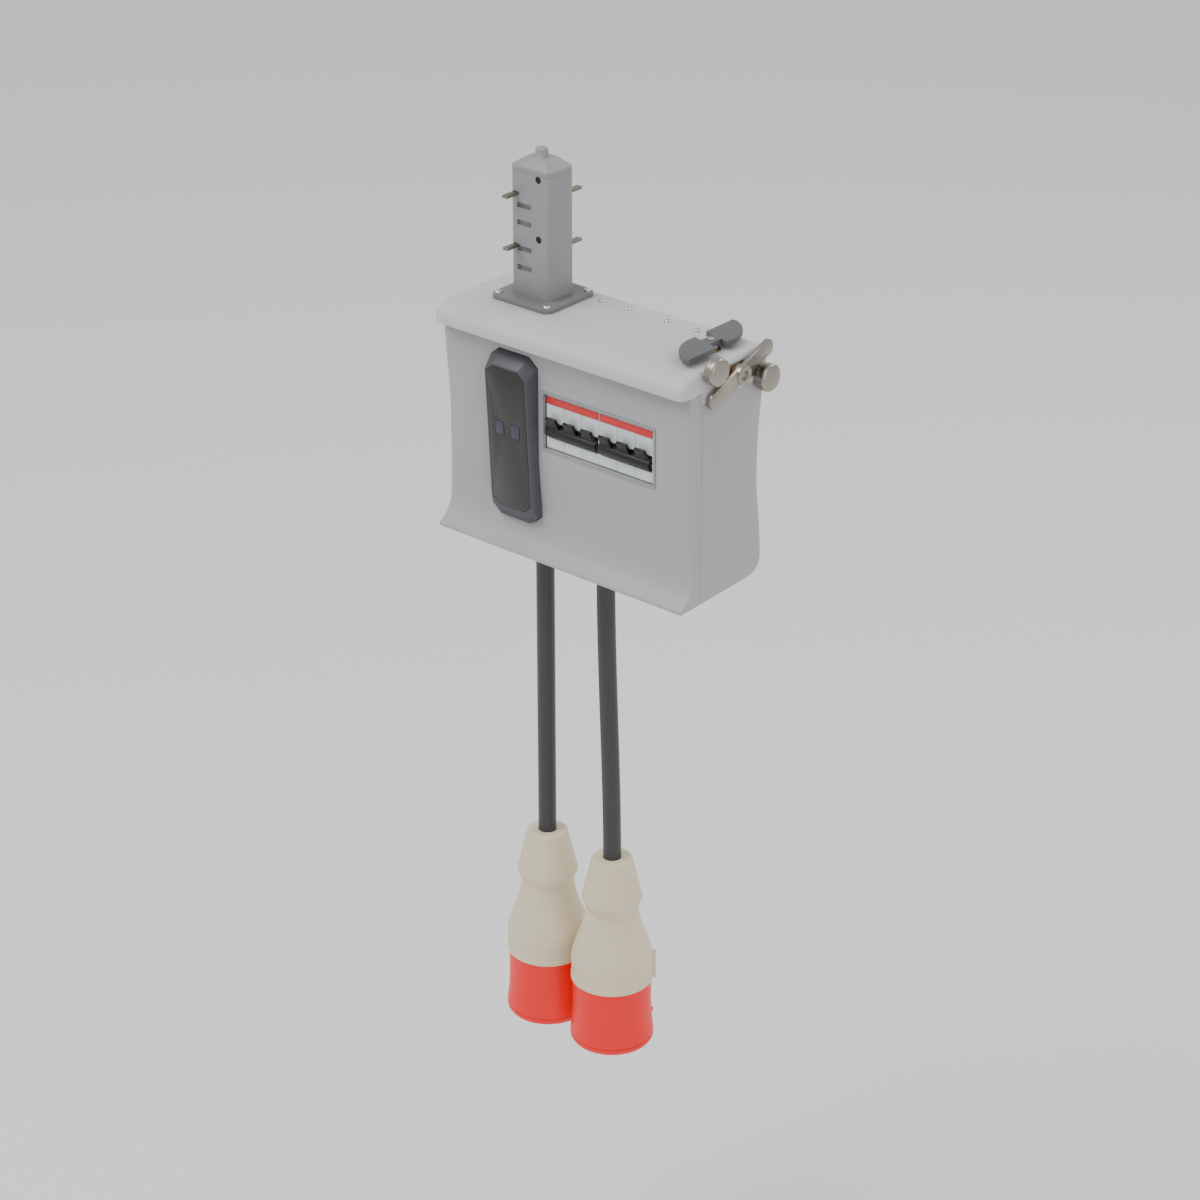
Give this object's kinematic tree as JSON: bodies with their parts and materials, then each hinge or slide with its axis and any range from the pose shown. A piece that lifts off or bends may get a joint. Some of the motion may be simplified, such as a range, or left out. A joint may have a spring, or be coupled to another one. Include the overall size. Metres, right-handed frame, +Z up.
{
  "type": "busway tap-off box",
  "caption": "Grey box that plugs into an overhead busway by a contact tower and locking claw, with breakers, a meter and hanging cable connectors.",
  "frame": {"origin": "on the deck of the box, under the contact tower, on the centreline of the busway that holds the box", "axes": "+X along the busway towards the locking claw, -Y to the front with the breakers and the meter, +Z up into the busway"},
  "size_m": [0.2611, 0.1045, 0.7692],
  "materials": {
    "hood_moulding": "light grey fine-grained moulding",
    "body_moulding": "mid grey fine-grained moulding",
    "body_trim": "grey moulded trim",
    "screw_steel": "zinc plated steel",
    "dark_screw": "black oxide screw",
    "zinc_steel": "zinc plated sheet and turned steel",
    "tower_moulding": "glass filled grey moulding",
    "contact_copper": "tinned copper, slightly tarnished",
    "black_moulding": "black moulding",
    "bronze": "sintered bronze",
    "brass": "plain brass",
    "dark_steel": "dark grey cast steel",
    "handle_metal": "dull nickel plate",
    "breaker_moulding": "light grey breaker case",
    "toggle_black": "black satin lever",
    "marker_red": "red marker strip",
    "meter_moulding": "charcoal bezel",
    "meter_face": "dark display pane",
    "key_blue_grey": "soft blue grey key",
    "terminal_grey": "grey terminal moulding",
    "gland_black": "black polyamide",
    "cable_sheath": "dark grey cable sheath",
    "connector_cream": "cream satin moulding",
    "connector_red": "red satin moulding"
  },
  "bodies": {
    "root": {"hood": "hood_moulding", "rear_shell": "body_moulding", "front_cover": "body_moulding", "window_frame": "body_trim", "cover_screws": "screw_steel", "deck_screws": "screw_steel", "chassis_rail": "zinc_steel", "chassis_plate": "zinc_steel", "chassis_screws": "screw_steel", "tower_flange": "tower_moulding", "flange_screws": "screw_steel", "contact_tower": "tower_moulding", "tower_cap": "tower_moulding", "tower_screws": "dark_screw", "contact_bars": "contact_copper", "bar_carrier": "black_moulding", "spindle_bush": "bronze", "bearing_plate": "handle_metal", "plate_screws": "dark_screw", "shaft_bush": "bronze", "din_rail": "zinc_steel", "breaker_1": "breaker_moulding", "breaker_2": "breaker_moulding", "toggle_pins": "screw_steel", "marker_strips": "marker_red", "meter_housing": "meter_moulding", "meter_window": "meter_face", "current_transformers": "black_moulding", "terminal_block": "terminal_grey", "earth_bar": "brass", "gland_1": "gland_black", "gland_2": "gland_black", "gland_nut_1": "gland_black", "gland_nut_2": "gland_black", "cord_1": "cable_sheath", "cord_2": "cable_sheath", "cord_nut_1": "connector_cream", "cord_nut_2": "connector_cream", "shell_1": "connector_cream", "shell_2": "connector_cream", "collar_1": "connector_red", "collar_2": "connector_red", "insert_1": "black_moulding", "insert_2": "black_moulding", "contact_tubes_1": "brass", "contact_tubes_2": "brass", "lid_pins": "screw_steel"},
    "handle": {"lock_handle": "handle_metal", "handle_knobs": "handle_metal", "handle_sector": "brass"},
    "claw_shaft": {"claw": "dark_steel", "claw_spindle": "zinc_steel", "claw_pinion": "brass"},
    "breaker_toggle_1": {"toggle_1": "toggle_black"},
    "breaker_toggle_2": {"toggle_2": "toggle_black"},
    "key_left": {"meter_key_left": "key_blue_grey"},
    "key_right": {"meter_key_right": "key_blue_grey"},
    "socket_lid_1": {"lid_1": "connector_red"},
    "socket_lid_2": {"lid_2": "connector_red"}
  },
  "joints": [
    {"name": "handle_turn", "type": "hinge", "parent": "root", "child": "handle", "pos_m": [0.194, 0, -0.012], "axis": [1, 0, 0], "range_deg": [0, 42]},
    {"name": "claw_turn", "type": "hinge", "parent": "root", "child": "claw_shaft", "pos_m": [0.167, 0, 0], "axis": [0, 0, 1], "range_deg": [0, 63]},
    {"name": "toggle_1_turn", "type": "hinge", "parent": "root", "child": "breaker_toggle_1", "pos_m": [0.07345, -0.0486, -0.0825], "axis": [1, 0, 0], "range_deg": [0, 80]},
    {"name": "toggle_2_turn", "type": "hinge", "parent": "root", "child": "breaker_toggle_2", "pos_m": [0.12655, -0.0486, -0.0825], "axis": [1, 0, 0], "range_deg": [0, 80]},
    {"name": "key_left_press", "type": "slide", "parent": "root", "child": "key_left", "axis": [0, 0.9983, 0.0576], "range_m": [0, 0.0008], "stiffness_N_per_m": 300, "springref_m": -0.0003},
    {"name": "key_right_press", "type": "slide", "parent": "root", "child": "key_right", "axis": [0, 0.9983, 0.0576], "range_m": [0, 0.0008], "stiffness_N_per_m": 300, "springref_m": -0.0003},
    {"name": "lid_1_hinge", "type": "hinge", "parent": "root", "child": "socket_lid_1", "pos_m": [0.002, 0.0375, -0.6395], "axis": [1, 0, 0], "range_deg": [0, 130], "stiffness_Nm_per_rad": 0.05, "springref_deg": -57.3},
    {"name": "lid_2_hinge", "type": "hinge", "parent": "root", "child": "socket_lid_2", "pos_m": [0.073, 0.0375, -0.6395], "axis": [1, 0, 0], "range_deg": [0, 130], "stiffness_Nm_per_rad": 0.05, "springref_deg": -57.3}
  ],
  "couplings": [
    {"joint": "claw_turn", "follows": "handle_turn", "ratio": 1.5}
  ]
}
